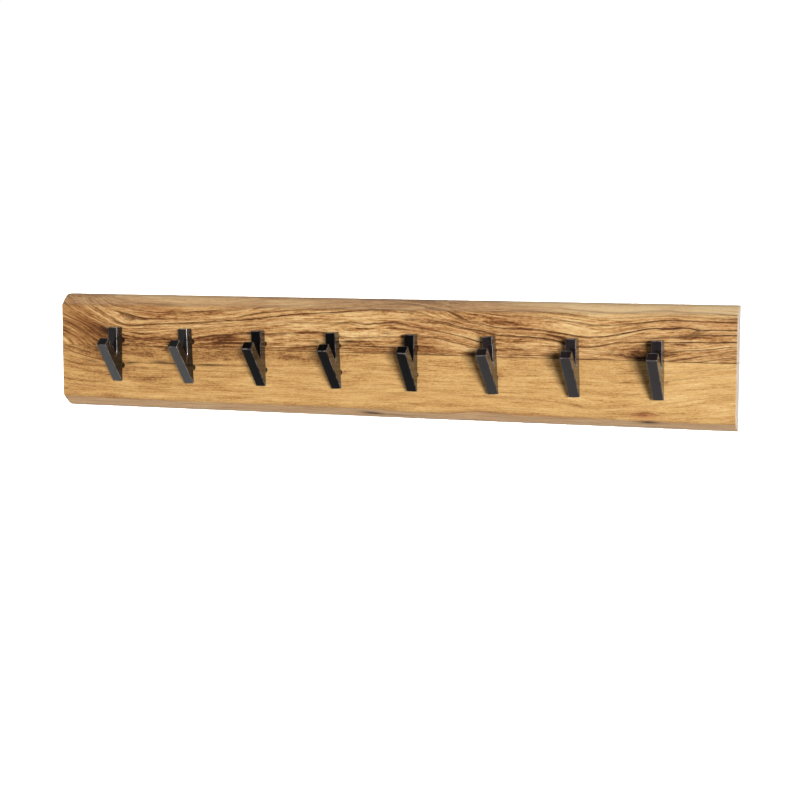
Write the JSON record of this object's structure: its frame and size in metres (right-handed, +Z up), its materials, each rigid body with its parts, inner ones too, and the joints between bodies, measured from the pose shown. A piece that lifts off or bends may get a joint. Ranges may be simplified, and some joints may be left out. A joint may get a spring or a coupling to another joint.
{
  "type": "wall hook rack",
  "caption": "Wall coat rack: a live-edge wooden board of two glued staves with a row of fixed black cast-iron V hooks standing off it on sleeves, hung on two keyhole plates.",
  "frame": {"origin": "centre of the board's back face, in the plane of the wall", "axes": "+X to the right along the board as seen from the room, +Y into the wall, +Z up; the hooks reach out towards -Y"},
  "size_m": [1.19, 0.1084, 0.2],
  "materials": {
    "upper_wood": "oiled, open grain, dark brown figure",
    "lower_wood": "oiled, open grain, honey",
    "hook_iron": "black, satin to gloss lacquer over casting skin",
    "sleeve_steel": "black satin",
    "zinc_steel": "bright zinc plate",
    "plate_steel": "pressed steel, zinc plated"
  },
  "bodies": {
    "root": {"hook_1": "hook_iron", "hook_2": "hook_iron", "hook_3": "hook_iron", "hook_4": "hook_iron", "hook_5": "hook_iron", "hook_6": "hook_iron", "hook_7": "hook_iron", "hook_8": "hook_iron", "hook_screw_washers": "zinc_steel", "hook_screws": "zinc_steel", "keyhole_plate_left": "plate_steel", "keyhole_plate_right": "plate_steel", "lower_sleeve_1": "sleeve_steel", "lower_sleeve_2": "sleeve_steel", "lower_sleeve_3": "sleeve_steel", "lower_sleeve_4": "sleeve_steel", "lower_sleeve_5": "sleeve_steel", "lower_sleeve_6": "sleeve_steel", "lower_sleeve_7": "sleeve_steel", "lower_sleeve_8": "sleeve_steel", "lower_stave": "lower_wood", "plate_screws": "zinc_steel", "upper_sleeve_1": "sleeve_steel", "upper_sleeve_2": "sleeve_steel", "upper_sleeve_3": "sleeve_steel", "upper_sleeve_4": "sleeve_steel", "upper_sleeve_5": "sleeve_steel", "upper_sleeve_6": "sleeve_steel", "upper_sleeve_7": "sleeve_steel", "upper_sleeve_8": "sleeve_steel", "upper_stave": "upper_wood"}
  },
  "joints": []
}
